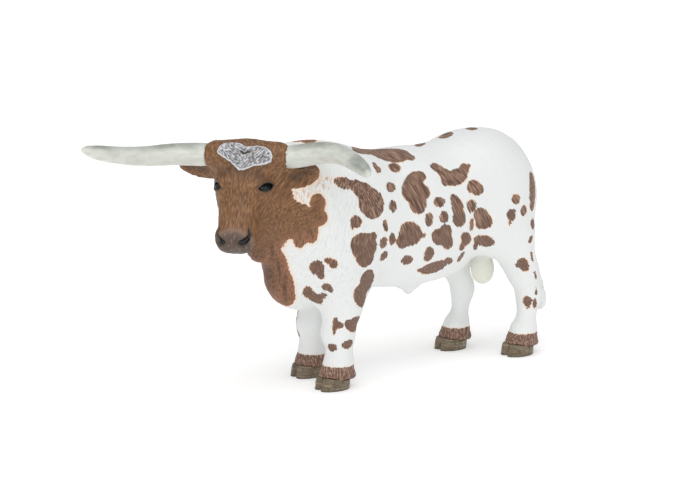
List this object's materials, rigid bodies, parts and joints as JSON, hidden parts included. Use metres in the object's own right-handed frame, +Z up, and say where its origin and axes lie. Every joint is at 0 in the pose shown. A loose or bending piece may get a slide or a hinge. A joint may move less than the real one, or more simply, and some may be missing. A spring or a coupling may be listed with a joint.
{
  "type": "toy longhorn bull figure",
  "caption": "Small moulded soft-plastic figure of a standing longhorn bull with its head turned to its left and wide horns, hand-painted, for play or display.",
  "frame": {"origin": "middle of the whole figure's bounding box, on the ground under it", "axes": "+Z up, the bull's body points along -Y, and its left side is +X"},
  "size_m": [0.067, 0.1662, 0.0798],
  "materials": {
    "white_coat": "white painted soft plastic with brown painted spots, satin",
    "brown_coat": "brown painted soft plastic with fine engraved hair, matt",
    "sock": "dark reddish brown paint over moulded hair, matt",
    "hoof": "olive brown paint, half gloss",
    "horn": "cream plastic with grey shading at the tips, satin",
    "eye": "black gloss paint",
    "bare_plastic": "cream plastic, satin"
  },
  "bodies": {
    "root": {"torso": "white_coat", "neck": "brown_coat", "head": "brown_coat", "ear_left": "brown_coat", "ear_right": "brown_coat", "eye_left": "eye", "eye_right": "eye", "horn_left": "horn", "horn_right": "horn", "tail": "white_coat", "scrotum": "bare_plastic", "leg_front_left": "white_coat", "leg_front_right": "white_coat", "leg_hind_left": "white_coat", "leg_hind_right": "white_coat", "pastern_front_left": "sock", "pastern_front_right": "sock", "pastern_hind_left": "sock", "pastern_hind_right": "sock", "hoof_front_left": "hoof", "hoof_front_right": "hoof", "hoof_hind_left": "hoof", "hoof_hind_right": "hoof"}
  },
  "joints": []
}
